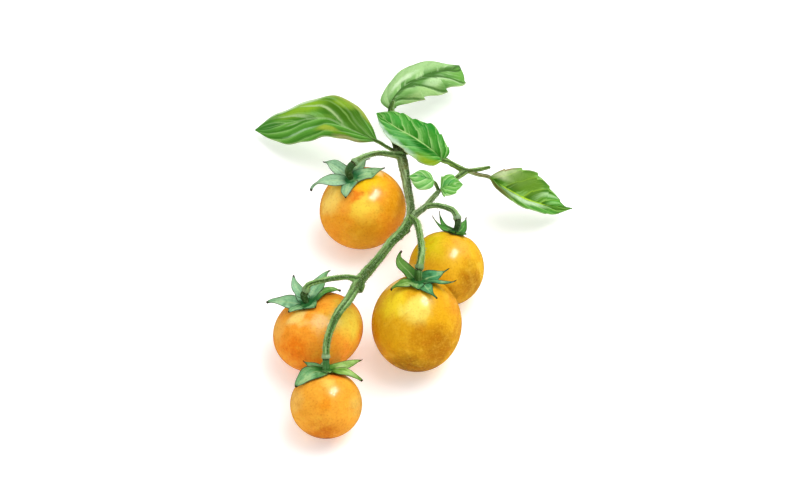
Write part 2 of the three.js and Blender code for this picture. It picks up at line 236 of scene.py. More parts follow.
class Fruit:
    """Where a fruit's skin is, in millimetres."""

    def __init__(self, centre, stalk, girth, tall):
        self.centre = Vector(centre)
        self.up = Vector(stalk).normalized()
        self.right = (Vector((1, 0, 0)) - self.up * self.up.x).normalized()
        self.back = self.up.cross(self.right)
        self.girth, self.tall = girth, tall

    def skin(self, polar):
        """Distance from the stalk's line and height along it, at an angle from the stalk end."""
        radius = self.girth * math.sin(polar)
        hollow = DIMPLE * bell(radius, DIMPLE_SPREAD) if polar < math.pi / 2 else 0
        return radius, self.tall * math.cos(polar) - hollow

    def out(self, bearing):
        """Straight out from the stalk's line, at a bearing round it."""
        return self.right * math.cos(bearing) + self.back * math.sin(bearing)

    def over(self, bearing, polar, lift):
        """A point over the skin, at a bearing round the stalk and an angle from it."""
        out = self.out(bearing)
        normal = out * (math.sin(polar) / self.girth) + self.up * (math.cos(polar) / self.tall)
        radius, height = self.skin(polar)
        return self.centre + out * radius + self.up * height + normal.normalized() * lift


fruits = {number: Fruit(*form) for number, form in FRUIT_FORMS.items()}

# Points along each twig's middle, its radii from first to last, the fruit that it bears, its own green, which
# of its sides gets the painted shade, and how brown its bark is. For a fruit: its number, the knuckle's distance
# from the twig's end, and the colours of the ring before the knuckle and of the neck after it.
FORK = (-1, -2, 25)  # where the upper stalks leave the stem
LOWER_FORK = (-17.5, -31.5, 28.5)
TWIGS = [
    # The main stem.
    ([(-5, 31.5, 21), (-4, 28.5, 21), (-3, 22, 21.5), (-2, 13.5, 22.5), (-1, 4.5, 24), FORK],
     [1.6, 1.75, 1.5, 1.4, 1.35, 1.5], None, "76875a", 1, 1.4),
    # The lower stem, which ends at fruit 5.
    ([FORK, (-4, -9, 26), (-7, -13, 26.5), (-11.5, -21.5, 27.5), LOWER_FORK,
      (-21.5, -41, 29.5), (-24.5, -46, 29.5), (-26.5, -50.5, 28.5), (-28, -54.5, 26.5), (-28.5, -57.5, 23.5)],
     [1.6, 1.65, 1.6, 1.5, 1.5, 1.8, 1.8, 1.6, 1.45, 1.3, 1.2, 1.15, 1.15], (5, 3.4, "9fba8c", "447d42"),
     "709a50", 1, 0.6),
    # The stalk of fruit 1.
    ([(-4.5, 28.5, 21.5), (-7.5, 27.5, 23.5), (-11.5, 25.5, 26.5), (-16, 22, 29), (-19, 19, 30),
      (-21, 17, 29.5)],
     [1.2, 1, 0.9, 0.9, 0.95, 1.3, 1.1], (1, 6.2, "86a87a", "0c3c16"), "90b870", 1, 0.6),
    # The stalk of fruit 2.
    ([(4, 4, 24), (6.5, 4.5, 24), (8.5, 4, 24.5), (11.5, 2.5, 25), (13.5, 1, 25)],
     [0.9, 0.9, 0.9, 1, 1.2, 1.05], (2, 3.8, "8aa080", "1a2614"), "7fa862", -1, 0.5),
    # The stalk of fruit 3.
    ([LOWER_FORK, (-22, -31.5, 30), (-30.5, -33.5, 30.5), (-34.5, -34.5, 29.5), (-35.5, -35.5, 27)],
     [1.2, 0.95, 0.9, 0.9, 0.9, 1.25, 1], (3, 4.6, "7d9a6c", "24451e"), "8cb866", 1, 0.5),
    # The stalk of fruit 4.
    ([FORK, (1, -6, 27.5), (2, -14, 31), (2.5, -21, 33.5), (2.5, -27, 35)],
     [1.4, 1.15, 1.1, 1.1, 1.1, 1.2, 1.3], (4, 3.6, "6b8a5c", "3c6a2c"), "6a9644", -1, 0.5),
    # The side branch.
    ([FORK, (1.5, 1, 24.5), (4, 4, 24), (6, 8, 23), (8.5, 13, 21.5)],
     [1.3, 1.1, 1, 0.9, 0.8], None, "7a9260", -1, 0.9),
    # The leaf stalk, under the middle leaf.
    ([(-4, 30, 21), (-1, 32, 20.5), (4, 32, 20), (9, 30, 19.5), (13.5, 27, 18.8), (18, 25, 18), (22, 26.5, 17),
      (26, 28, 16.5)],
     [1.2, 1, 0.9, 0.9, 1, 0.8, 0.55], None, "7ca043", -1, 0.7),
    # Its side twig.
    ([(18, 25, 18), (16.2, 23.5, 17.8), (14.4, 22.2, 17.5)],
     [1, 1, 1, 0.8], None, "86aa58", 1, 0.3),
    # The nub at the lower fork.
    ([LOWER_FORK, (-17.7, -34.2, 28.4), (-17.9, -36, 28.2)],
     [1.6, 1.65, 1.3], None, "6a9048", 1, 0.4),
    # The nub at the upper fork.
    ([(-2.1, -6.4, 24.8), (-2.4, -7, 24.6), (-2.7, -7.8, 24.4)],
     [1.3, 1.25, 0.9], None, "335c30", 1, 0.6),
]


def mesh_of(name, points, edges, faces):
    made = bpy.data.meshes.new(name)
    made.from_pydata(points, edges, faces)
    return made


def noted(mesh, name, kind, values):
    """Writes down something of each point of a mesh, for its material to read."""
    types = {"value": "FLOAT", "vector": "FLOAT_VECTOR", "color": "FLOAT_COLOR"}
    mesh.attributes.new(name, types[kind], "POINT").data.foreach_set(kind, values)
    return mesh


WIRE_STEP = 0.35  # millimetres between the points of a twig's middle line
KNUCKLE_SWELLING = 0.3  # just before the crease
KNUCKLE_CREASE = 0.28
NO_KNUCKLE = -9  # stands for a knuckle that is far ahead


class Wires:
    """The middle lines of some twigs, with what their skin needs to know at each point."""

    def __init__(self):
        # Each point: place, radius, way along the twig, a side, the heading, way past the knuckle, colours.
        self.points, self.edges = [], []

    def add(self, points, radii, green, wood, shade_side=1, knuckle=None, ring="000000", neck="000000"):
        """Follows one twig. The knuckle's place is its distance from the twig's end."""
        length = evenly(points, 2)[1]
        count = max(6, round(length / WIRE_STEP))
        spots = evenly(points, count)[0]
        colours = (*dye(green)[:3], wood), dye(ring), dye(neck)
        # The painted shade on the bark falls towards this side.
        side = Vector((0, 0, shade_side)).cross(spots[1] - spots[0]).normalized()
        for k, spot in enumerate(spots):
            share = k / count
            head = (spots[min(k + 1, count)] - spots[max(k - 1, 0)]).normalized()
            side = (side - head * side.dot(head)).normalized()
            away = knuckle - (1 - share) * length if knuckle else NO_KNUCKLE
            radius = between(radii, share) + KNUCKLE_SWELLING * bell(away + 0.75, 0.8)
            radius -= KNUCKLE_CREASE * bell(away, 0.26)
            if k:
                self.edges.append((len(self.points) - 1, len(self.points)))
            self.points.append((spot, radius, share * length, side, head, away, colours))

    def mesh(self, name):
        wire = mesh_of(name, [spot * MM for spot, *_ in self.points], self.edges, [])
        return noted(wire, "thick", "value", [radius * MM for _, radius, *_ in self.points])

    def mark(self, skin):
        """Gives each point of a skin its place round and along the nearest twig, and that twig's colours."""
        tree = KDTree(len(self.points))
        for i, (spot, *_) in enumerate(self.points):
            tree.insert(spot * MM, i)
        tree.balance()
        grain, knuckle, colours = [], [], {"green": [], "ring": [], "neck": []}
        for vertex in skin.vertices:
            spot, i, _ = tree.find(vertex.co)
            _, _, run, side, head, away, dyes = self.points[i]
            out = vertex.co - spot
            angle = math.atan2(out.dot(head.cross(side)), out.dot(side))
            grain += (math.cos(angle), math.sin(angle), run + out.dot(head) / MM)
            knuckle.append(away)
            for values, colour in zip(colours.values(), dyes):
                values += colour
        noted(skin, "grain", "vector", grain)
        for name, values in colours.items():
            noted(skin, name, "color", values)
        noted(skin, "knuckle", "value", knuckle)


twig_wires = Wires()
for points, radii, fruit_end, green, shade_side, wood in TWIGS:
    knuckle = ()
    if fruit_end:
        number, *knuckle = fruit_end
        end = fruits[number].over(0, 0, STALK_END)
        points = [*points, end + fruits[number].up * STALK_STRAIGHT, end]
    twig_wires.add(points, radii, green, wood, shade_side, *knuckle)


def sized(tree, sizes):
    """Gives a growth its geometry socket and its named sizes."""
    tree.interface.new_socket("Geometry", in_out="INPUT", socket_type="NodeSocketGeometry")
    for name, value in sizes.items():
        kind = "NodeSocketInt" if isinstance(value, int) else "NodeSocketFloat"
        tree.interface.new_socket(name, in_out="INPUT", socket_type=kind).default_value = value
    tree.interface.new_socket("Geometry", in_out="OUTPUT", socket_type="NodeSocketGeometry")
    graph = Graph(tree)
    return graph, graph.node("NodeGroupInput")


def shown(name, data):
    """A new object, in the scene."""
    thing = bpy.data.objects.new(name, data)
    bpy.context.scene.collection.objects.link(thing)
    return thing


def grown(name, tree, source, sizes, smooth=None):
    """The plain mesh that a growth makes of a source mesh, remeshed and smoothed where its voxel is given."""
    thing = shown(name, source)
    growth = thing.modifiers.new("Growth", "NODES")
    growth.node_group = tree
    for item in tree.interface.items_tree:
        if item.in_out == "INPUT" and item.name in sizes:
            growth[item.identifier] = sizes[item.name]
    if smooth:
        remesh = thing.modifiers.new("Flesh", "REMESH")
        remesh.mode = "VOXEL"
        remesh.voxel_size = smooth
        even = thing.modifiers.new("Even", "SMOOTH")
        even.factor = 0.5
        even.iterations = 4
    depsgraph = bpy.context.evaluated_depsgraph_get()
    result = thing.evaluated_get(depsgraph)
    made = bpy.data.meshes.new_from_object(result, preserve_all_data_layers=True, depsgraph=depsgraph)
    bpy.data.objects.remove(thing)
    made.name = name
    return made


def placed(name, mesh, slot, *nodes):
    """A finished piece of the sprig, in place of the named solids."""
    mesh.polygons.foreach_set("use_smooth", [True] * len(mesh.polygons))
    piece = shown(name, mesh)
    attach(piece, "root")
    if nodes:
        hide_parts(*nodes)


CUT_END = (-0.005, 0.0318, 0.021)  # metres


def twig_finish(name):
    """Green bark with painted shade down one side, long dark flecks and pale ribs that are fainter on that side,
    and a ring and a neck at each knuckle.
    """
    graph = finish_of(name)
    place = graph.place()
    grain = graph.given("grain")
    shade_side = graph.axes(grain)[0]
    knuckle = graph.given("knuckle", "Fac")
    green, ring, neck = (graph.given(colour, "Color") for colour in ("green", "ring", "neck"))
    wood = green["Alpha"]
    long = graph.vectors("MULTIPLY", grain, (1.5, 1.5, 0.09))
    streak = graph.noise(long, 1.6, 4, 0.3)
    fleck = graph.noise(long, 4, 2)
    blotch = graph.noise(place, 190)
    grit = graph.noise(place, 1300, 2)
    fleshy = graph.fade(knuckle + (fleck - 0.5) * 2.0, -0.3, 0.3)
    # Painted shade: a dark band down the twig's shaded side, made ragged by the streaks.
    painted_shade_band = (shade_side - 0.48).math("ABSOLUTE") + (streak - 0.5) * 2.2
    pale = (knuckle + 0.9).math("ABSOLUTE") + (blotch - 0.5) * 1.4 + (streak - 0.5) * 1.6
    cut = graph.vectors("DISTANCE", place, CUT_END) + (blotch - 0.5) * 0.002
    colour = graph.stained(
        graph.tint(fleshy * 0.7, green, neck),
        # Pale streaks, fainter towards the shaded side, then the painted shade down that side.
        ("b2d692", streak - shade_side * 0.12, 0.5, 0.68, 0.6),
        ("304e1a", painted_shade_band, 0.62, 0.12, 0.85),
        ("6f6c38", blotch, 0.54, 0.68, wood * 0.4),
        ("3a3018", fleck, 0.6, 0.7, wood * 0.6),
        ("2f4a18", grit, 0.48, 0.7, 0.35),
        ("c4dcae", grit, 0.46, 0.3, 0.2),
        (ring, pale, 1.0, 0.2, 0.8),
    )
    colour = graph.stained(
        graph.tint(fleshy * 0.5, colour, neck),
        ("231f0e", knuckle.math("ABSOLUTE"), 0.4, 0.12, 0.8),
        ("3b3326", cut, 0.0034, 0.0016, 0.75),
    )
    relief = streak + 0.4 * fleck + 0.15 * grit
    return coat(graph, colour, 0.62 - 0.15 * streak, relief, depth=0.0003, Specular_IOR_Level=0.03)


def finished(graph, geometry, material):
    """Ends a growth: its copies are made real and given their material."""
    geometry = graph.node("GeometryNodeRealizeInstances", {"Geometry": geometry})
    geometry = graph.node("GeometryNodeSetMaterial", {"Geometry": geometry, "Material": material})
    graph.node("NodeGroupOutput", {"Geometry": geometry})


TWIG_SIDES = 20
TWIG_VOXEL = 0.2 * MM

# A tube of each twig's thickness follows its wire, and uneven growth pushes its skin in and out.
twig_tree = bpy.data.node_groups.new("Twig growth", "GeometryNodeTree")
graph, sizes = sized(twig_tree, {"Sides": TWIG_SIDES, "Lump height": 0.00022, "Lump size": 0.0016})
wire = graph.node("GeometryNodeMeshToCurve", {"Mesh": sizes["Geometry"]})
thick = graph.node("GeometryNodeInputNamedAttribute", {"Name": "thick"}, data_type="FLOAT")
ring = graph.node("GeometryNodeCurvePrimitiveCircle", {"Resolution": sizes["Sides"], "Radius": 1.0})
tube = graph.node(
    "GeometryNodeCurveToMesh", {"Curve": wire, "Profile Curve": ring, "Scale": thick, "Fill Caps": True}
)
lumps = graph.noise(graph.node("GeometryNodeInputPosition"), 1 / sizes["Lump size"], 2.0)
push = graph.node(
    "ShaderNodeVectorMath",
    {0: graph.node("GeometryNodeInputNormal"), "Scale": (lumps - 0.5) * sizes["Lump height"] * 2},
    operation="SCALE",
)
tube = graph.node("GeometryNodeSetPosition", {"Geometry": tube, "Offset": push})
twig_skin = twig_finish("twig_skin")
finished(graph, tube, twig_skin)

twig_mesh = grown("twigs", twig_tree, twig_wires.mesh("twig_wires"), {"Sides": TWIG_SIDES}, smooth=TWIG_VOXEL)
twig_wires.mark(twig_mesh)
twig_mesh.materials.clear()
twig_mesh.materials.append(twig_skin)
placed("twigs", twig_mesh, "stem", "stem")

# The down of the twigs: short, stiff, pale hairs that grow out of the skin and stand off it all round, up to the
# knuckles. They are far finer than the twigs, and catch the light along the outline.
graph = finish_of("twig_down")
place = graph.place()
colour = graph.tint(graph.noise(place, 300), dye("b6c89a"), dye("7c9660"))
twig_down = coat(graph, colour, 0.6, graph.noise(place, 900), depth=0.0001, Specular_IOR_Level=0.2)

down_tree = bpy.data.node_groups.new("Twig down", "GeometryNodeTree")
graph, sizes = sized(down_tree, {"Hairs per m2": 2.6e6, "Hair length": 0.001, "Hair radius": 0.00005, "Seed": 4})
knuckle = graph.node("GeometryNodeInputNamedAttribute", {"Name": "knuckle"}, data_type="FLOAT")
density = sizes["Hairs per m2"] * knuckle.math("LESS_THAN", 0.0)
points = graph.node(
    "GeometryNodeDistributePointsOnFaces",
    {"Mesh": sizes["Geometry"], "Seed": sizes["Seed"], "Density": density},
)
cone = {"Vertices": 3, "Side Segments": 1, "Radius Top": 0.0}
cone |= {"Radius Bottom": sizes["Hair radius"], "Depth": sizes["Hair length"]}
hair = graph.node("GeometryNodeMeshCone", cone, fill_type="NONE")
lean = graph.node(
    "FunctionNodeRandomValue", {"Min": (-0.6, -0.6, 0.0), "Max": (0.6, 0.6, 6.28), "Seed": sizes["Seed"]},
    data_type="FLOAT_VECTOR",
)
turn = graph.node("FunctionNodeEulerToRotation", {"Euler": lean})
stand = graph.node(
    "FunctionNodeRotateRotation", {"Rotation": points["Rotation"], "Rotate By": turn}, rotation_space="LOCAL"
)
size = graph.node(
    "FunctionNodeRandomValue", {"Min": 0.4, "Max": 1.0, "Seed": sizes["Seed"]}, data_type="FLOAT"
)
hairs = graph.node(
    "GeometryNodeInstanceOnPoints", {"Points": points, "Instance": hair, "Rotation": stand, "Scale": size}
)
finished(graph, hairs, twig_down)
placed("twig_down", grown("twig_down", down_tree, twig_mesh.copy(), {"Seed": 4}), "stem")

# The fruits: five ripe cherry tomatoes, each a single berry under a thin, tight, glossy skin.
# The flesh shows through in patches of yellow, gold and orange, with fine pale fibres that run from the stalk
# to the scar that the flower left at the far end. A few pale patches are painted highlights, and the dark
# patches on the undersides are painted shade.
FRUIT_SIDES = 144
FRUIT_BANDS = 88
SCAR_DEPTH = 0.25
CREASES = 5  # shallow ones that run out from the hollow
CREASE_DEPTH = 0.012  # as a share of the half height
SEAT_SOFTNESS = 0.16  # how gently the skin flattens on the table


def hoops(first, sides, count):
    """The faces of a skin between rings of points, one ring after another from a first point's number."""
    faces = []
    for ring in range(first, first + (count - 1) * sides, sides):
        for side in range(sides):
            a, b = ring + side, ring + (side + 1) % sides
            faces.append((a, a + sides, b + sides, b))
    return faces


def fruit_mesh(name, fruit, unevenness):
    """A turned skin with a hollow at the stalk, a small scar at the far end, and a seat on the table."""
    points, fibre = [], []
    for band in range(FRUIT_BANDS + 1):
        polar = math.pi * band / FRUIT_BANDS
        radius, height = fruit.skin(polar)
        height += SCAR_DEPTH * bell(math.pi - polar, 0.05)
        for side in range(FRUIT_SIDES if 0 < band < FRUIT_BANDS else 1):
            bearing = 2 * math.pi * side / FRUIT_SIDES
            swell = sum(
                share * math.cos(lobes * bearing + phase) for lobes, share, phase in unevenness
            ) * math.sin(polar) ** 2
            crease = CREASE_DEPTH * math.cos(CREASES * bearing + 1) * bell(polar - 0.35, 0.25)
            point = fruit.centre + fruit.out(bearing) * radius * (1 + swell)
            point += fruit.up * (height + crease * fruit.tall)
            point.z = 0.5 * (point.z + math.sqrt(point.z**2 + SEAT_SOFTNESS))
            points.append(point * MM)
            fibre += (math.cos(bearing), math.sin(bearing), polar)
    faces = hoops(1, FRUIT_SIDES, FRUIT_BANDS - 1)
    last = len(points) - 1
    foot = last - FRUIT_SIDES
    for side in range(FRUIT_SIDES):
        after = (side + 1) % FRUIT_SIDES
        faces += [(0, 1 + side, 1 + after), (last, foot + after, foot + side)]
    return noted(mesh_of(name, points, [], faces), "fibre", "vector", fibre)


def fruit_finish(name, fruit, gloss, ground, patches):
    """Ripe skin: a ground colour, soft patches of other colours round the fruit, painted highlights and painted
    shade among them, fibres, pores and gloss.
    """
    graph = finish_of(name)
    place = graph.place()
    centred = graph.vectors("SUBTRACT", place, tuple(fruit.centre * MM))
    way = graph.node("ShaderNodeVectorMath", {0: centred}, operation="NORMALIZE")
    wash = graph.noise(place, 170, 4, 0.3)
    mottle = graph.noise(place, 330, 6, 0.3)
    grains = graph.noise(place, 1500)
    fibres = graph.noise(graph.vectors("MULTIPLY", graph.given("fibre"), (9, 9, 0.9)), 1)
    scar = graph.vectors("DISTANCE", way, tuple(-fruit.up))
    colour = dye(ground)
    for direction, spread, code, share in patches:
        edge = graph.vectors("DISTANCE", way, tuple(Vector(direction).normalized())) + (wash - 0.5) * 0.7
        colour = graph.stained(colour, (code, edge, spread, spread * 0.25, share))
    colour = graph.stained(
        colour,
        ("ffd84c", mottle, 0.5, 0.72, 0.2),
        ("d07c10", mottle, 0.5, 0.3, 0.3),
        ("ffd458", fibres, 0.55, 0.8, 0.08),
    )
    colour = graph.tint(graph.fade(grains, 0.5, 0.75, 0, 0.3), colour, dye("c88a1c"), "MULTIPLY")
    colour = graph.stained(
        colour,
        ("ffd040", grains, 0.5, 0.3, 0.18),
        ("d8a850", scar, 0.1, 0.05, 0.6),
        ("5a3a18", scar, 0.045, 0.03, 1),
    )
    return coat(
        graph, colour, 0.2 + 0.12 * wash, wash * 0.6 + fibres * 0.15 + grains * 0.05, depth=0.0003,
        Specular_IOR_Level=0.05, Coat_Weight=gloss, Coat_Roughness=0.09, Coat_IOR=1.35,
    )


# How glossy each skin is, its ground colour, and its patches: direction, spread, colour and share. Some patches
# are painted highlights and some painted shade, as noted at each fruit.
FRUIT_COLOURS = {
    1: (0.16, "ee9d22", [
        # Fruit 1: the patch facing down, (0.1, -0.8, -0.6), is painted shade; the pale cream one at the top,
        # (0.37, 0.48, 0.8), is a painted highlight.
        ((0, -0.65, 0.75), 0.5, "fbde4c", 0.85), ((0.15, 0.1, 1), 0.55, "f6c814", 0.9),
        ((-0.2, -0.4, 0.9), 0.2, "ea7414", 0.85), ((-0.75, -0.2, 0.65), 0.6, "fcd868", 0.9),
        ((-0.45, -0.55, 0.7), 0.3, "f19528", 0.7), ((0, -1, 0.1), 0.7, "dca424", 0.85),
        ((0.1, -0.8, -0.6), 0.6, "d4941a", 0.85), ((0.8, -0.3, 0.5), 0.5, "e0960e", 0.85),
        ((0.75, -0.65, 0.1), 0.45, "f0982c", 0.75), ((0.37, 0.48, 0.8), 0.25, "fbe2a0", 0.6)
    ]),
    2: (0.13, "e6b020", [
        # Fruit 2: the dark patches low down, (-0.1, -0.95, 0.1) and (0.2, -0.75, -0.6), are painted shade; the
        # pale streak inside the left rim, (-0.9, -0.28, 0.33), is painted reflected light.
        ((-0.5, 0.1, 0.85), 0.7, "dcc812", 0.9), ((0.35, 0, 0.9), 0.4, "f4b040", 0.8),
        ((0.62, -0.72, 0.25), 0.7, "a86c06", 0.9), ((-0.85, -0.4, 0.3), 0.45, "cf9a14", 0.8),
        ((-0.1, -0.95, 0.1), 0.6, "a87808", 0.9), ((0.2, -0.75, -0.6), 0.6, "a87404", 0.9),
        ((-0.9, -0.28, 0.33), 0.25, "ecd060", 0.6)
    ]),
    3: (0.1, "f6992a", [
        # Fruit 3: the small cream patch (0.05, -0.42, 0.9) is a painted highlight, and the dark one facing down,
        # (-0.1, -1, -0.3), is painted shade.
        ((0.65, -0.2, 0.7), 0.75, "ebd048", 0.95), ((-0.5, -0.75, 0.4), 0.5, "f07c0e", 0.9),
        ((-0.95, -0.1, 0.3), 0.45, "f5b44e", 0.8), ((-0.5, -0.2, 0.83), 0.35, "fbd87a", 0.85),
        ((0.05, -0.5, 0.87), 0.4, "fcc068", 0.7), ((0.05, -0.42, 0.9), 0.22, "ffd69a", 0.5),
        ((0.35, -0.95, 0.05), 0.35, "c59430", 0.8), ((0.75, -0.65, 0), 0.35, "ea9c28", 0.8),
        ((-0.1, -1, -0.3), 0.5, "b87008", 0.85)
    ]),
    4: (0.05, "e2a716", [
        # Fruit 4: the pale yellow patch (0, -0.38, 0.92) and the cream one (-0.5, 0.56, 0.68) are painted
        # highlights; the dark patch facing down, (-0.1, -0.9, -0.4), is painted shade.
        ((-0.45, -0.1, 0.9), 0.5, "f4d62a", 0.9), ((0, -0.38, 0.92), 0.45, "f8e66a", 0.85),
        ((0.15, -0.85, 0.5), 0.55, "c8860a", 0.85), ((-0.1, -0.9, -0.4), 0.85, "8e5c02", 0.9),
        ((0.8, 0.1, 0.6), 0.5, "e69a26", 0.8), ((0.67, 0.33, 0.67), 0.32, "cc8c10", 0.85),
        ((0.95, -0.3, 0.2), 0.4, "d8941e", 0.8), ((0.5, -0.8, 0.15), 0.65, "b06e04", 0.85),
        ((-0.9, -0.35, 0.2), 0.4, "dc9614", 0.8), ((-0.5, 0.56, 0.68), 0.28, "fbe6ac", 0.55)
    ]),
    5: (0.12, "f2a432", [
        # Fruit 5: the dark patches facing down, (-0.05, -0.95, -0.1) and (0, -0.75, -0.65), are painted shade.
        ((0.3, 0.45, 0.85), 0.35, "e5661a", 0.85), ((-0.4, 0.35, 0.85), 0.3, "e8742a", 0.7),
        ((0.1, -0.1, 1), 0.35, "f2cc5c", 0.8), ((0, -0.6, 0.8), 0.35, "ee9018", 0.8),
        ((-0.85, -0.2, 0.45), 0.5, "f4bc58", 0.8), ((0.85, -0.3, 0.4), 0.4, "dfb04c", 0.85),
        ((0.97, -0.15, 0.1), 0.6, "d2a248", 0.65), ((-0.05, -0.95, -0.1), 0.75, "c8680c", 0.85),
        ((0, -0.75, -0.65), 0.5, "a04a06", 0.85)
    ]),
}
for number, fruit in fruits.items():
    # How many lobes, their height as a share of the radius, and where they start.
    unevenness = [(2, 0.006, number), (3, 0.005, 2.1 * number), (5, 0.003, 1.3 * number)]
    mesh = fruit_mesh(f"tomato_{number}", fruit, unevenness)
    mesh.materials.append(fruit_finish(f"tomato_skin_{number}", fruit, *FRUIT_COLOURS[number]))
    placed(f"tomato_{number}", mesh, f"fruit_{number}", f"fruit_{number}")

# The calyxes: the green star on each fruit, five or six sepals on a small fleshy hub round the stalk's end.
# Each sepal is thin and leafy with a keel down its middle, and its dry tip curls up and turns nearly black.
HUB_RADIUS = 3
HUB_HEIGHT = 1
HUB_COLLAR = 0.4  # what the hub adds close round the stalk
HUB_MARK = (0.02, 0.6, 0)  # it is coloured as the roots of the sepals are
SEPAL_STEPS = 36
SEPAL_COLUMNS = 6  # on each side of the keel
SEPAL_ROOT = 0.09  # where a sepal starts, in radians from the stalk's line
SEPAL_CLEAR = AIR + 0.3  # the least height of a sepal's middle over the skin


class Leafage:
    """Leafy sheets that become one mesh. A point's mark is its share along, its side and its face."""

    def __init__(self):
        self.points, self.faces, self.marks = [], [], []

    def sheet(self, rows, sides, shares, relief, thick, upright=None):
        """A closed sheet round rows of points: relief lifts it and thick sets it apart, both by share and side.
        Its third mark tells its two faces apart, or says how upright it stands."""
        wide, high = len(sides), len(rows)
        first = len(self.points)
        upper, lower = [], []
        for i, row in enumerate(rows):
            for j, point in enumerate(row):
                along = rows[min(i + 1, high - 1)][j] - rows[max(i - 1, 0)][j]
                across = row[min(j + 1, wide - 1)] - row[max(j - 1, 0)]
                normal = along.cross(across).normalized()
                lifted = point + normal * relief(shares[i], sides[j])
                half = thick(shares[i], sides[j]) / 2
                upper.append(lifted + normal * half)
                lower.append(lifted - normal * half)
        self.points += [point * MM for point in upper + lower]
        for face in (1, 0):
            for share in shares:
                for side in sides:
                    self.marks += (share, side, face if upright is None else upright)
        under = len(upper)
        for i in range(high - 1):
            for j in range(wide - 1):
                a = first + i * wide + j
                b, c, d = a + 1, a + wide, a + wide + 1
                self.faces.append((a, c, d, b))
                self.faces.append((under + a, under + b, under + d, under + c))
        rim = [first + j for j in range(wide - 1)]
        rim += [first + i * wide + wide - 1 for i in range(high - 1)]
        rim += [first + (high - 1) * wide + j for j in range(wide - 1, 0, -1)]
        rim += [first + i * wide for i in range(high - 1, 0, -1)]
        for a, b in zip(rim, rim[1:] + rim[:1]):
            self.faces.append((a, b, under + b, under + a))

    def mesh(self, name):
        return noted(mesh_of(name, self.points, [], self.faces), "leafy", "vector", self.marks)


def hub(leafage, fruit):
    """The hub fills the hollow round the stalk and tapers up to it."""
    sides, bands = 40, 10
    first = len(leafage.points)
    profile = []
    for k in range(bands + 1):
        radius = HUB_RADIUS * k / bands
        floor = fruit.skin(math.asin(radius / fruit.girth))[1] + AIR
        crown = HUB_HEIGHT * max(0, 1 - (k / bands) ** 2.5) + HUB_COLLAR * bell(radius, 1.1)
        profile.append((radius, floor, floor + crown))
    loops = [(r, top) for r, _, top in profile] + [(r, low) for r, low, _ in profile[-2::-1]]
    for radius, height in loops:
        for side in range(sides):
            out = fruit.out(2 * math.pi * side / sides) * max(radius, 0.01)
            leafage.points.append((fruit.centre + out + fruit.up * height) * MM)
            leafage.marks += HUB_MARK[0] * radius, *HUB_MARK[1:]
    last = first + (len(loops) - 1) * sides
    leafage.faces += hoops(first, sides, len(loops))
    leafage.faces += [tuple(range(first, first + sides)), tuple(range(last + sides - 1, last - 1, -1))]


def sepal(leafage, fruit, bearing, reach, lift, width, veer, drop, tilt, body, number):
    """One sepal, from under the hub out over the fruit to its thin tail, which veers aside and drops or rises."""
    bearing, reach, veer = math.radians(bearing), math.radians(reach), math.radians(veer)
    shares = [step / SEPAL_STEPS for step in range(SEPAL_STEPS + 1)]
    sides = [column / SEPAL_COLUMNS for column in range(-SEPAL_COLUMNS, SEPAL_COLUMNS + 1)]
    rows = []
    for t in shares:
        polar = SEPAL_ROOT + (reach - SEPAL_ROOT) * t
        swell = 0.55 + 0.45 * math.sin(math.pi * (0.2 + 0.8 * t) ** 0.8)
        half = width / 2 * swell * max(0, 1 - (t / body) ** 2.6) + 0.24 * (1 - 0.6 * t)
        half *= 1 + 0.12 * math.sin(11 * t + 3 * number)
        turn = half / (fruit.girth * math.sin(max(polar, 0.2)))
        end = max(0, (t - 0.55) / 0.45)
        rise = SEPAL_CLEAR + lift * t**1.7 - drop * end**2
        middle = bearing + veer * end**2 + 0.05 * math.sin(7 * t + 1.7 * number) * t
        row = []
        for side in sides:
            cup = (0.35 * t + 0.5 * t * t * (1 - t)) * side**2
            wave = 0.3 * math.sin(9 * t + 2 * number + side) * side**2 * t
            lean = tilt * side * math.sin(math.pi * t) ** 0.7
            row.append(fruit.over(middle + side * turn, polar, max(rise + cup + wave + lean, SEPAL_CLEAR)))
        rows.append(row)

    def keel(t, side):
        return -0.16 * bell(side, 0.16) * (1 - t) + 0.08 * math.cos(4 * math.pi * side) * (1 - t)

    def thick(t, side):
        return (0.55 - 0.33 * side**2) * (1 - 0.55 * t**3)

    leafage.sheet(rows, sides, shares, keel, thick, lift / 8)


def calyx_finish(name, fruit, left, right, edge, lit_upright_green):
    """Leafy green, dark round the hub, deep green there and painted shade where the sepals start, with a pale
    keel, fine ribs, brown edges and a nearly black tip. Painted shade darkens one edge of each sepal, and painted
    light makes the upright sepals paler.
    """
    graph = finish_of(name)
    along, across, upright = graph.axes(graph.given("leafy"))
    place = graph.place()
    wash = graph.noise(place, 260, 4, 0.3)
    grains = graph.noise(place, 1500, 2)
    drift = wash - 0.5
    over = graph.axes(place)[0] - fruit.centre.x * MM
    half = graph.fade(over + drift * 0.006, -0.003, 0.003)
    base, light = (graph.tint(half, dye(a), dye(b)) for a, b in zip(left, right))
    side = across.math("ABSOLUTE")
    ribs = (side * 16.0 + wash * 4.0).math("SINE")
    colour = graph.stained(
        base,
        (light, along + drift * 0.6, 0.05, 0.55, 1),
        (base, ribs, 0.2, 1, 0.3),
        ("b6d28c", wash, 0.52, 0.66, 0.5),
        (base, wash - across * 0.05, 0.48, 0.3, 0.7),
        # Painted light: the sepals that stand up are paler.
        (lit_upright_green, upright + drift * 0.5, 0.5, 1, 0.55),
        # Painted shade along one edge of each sepal.
        (base, across + drift * 0.8, 0.1, -0.35, 0.3),
        ("b5d08c", side, 0.12, 0.03, 0.35),
        # Dark round the hub: the hub's deep green, with painted shade where the sepals start.
        ("20602a", along + drift * 0.2, 0.22, 0.02, 0.8),
        (edge, side + drift * 0.4, 0.82, 1, 0.75),
        ("33241a", along + drift * 0.08, 0.92, 0.98, 1),
        ("24501c", grains, 0.45, 0.75, 0.2),
    )
    relief = ribs * 0.25 + wash + grains * 0.2
    return coat(graph, colour, 0.6 - 0.15 * wash, relief, depth=0.0002, Specular_IOR_Level=0.02)


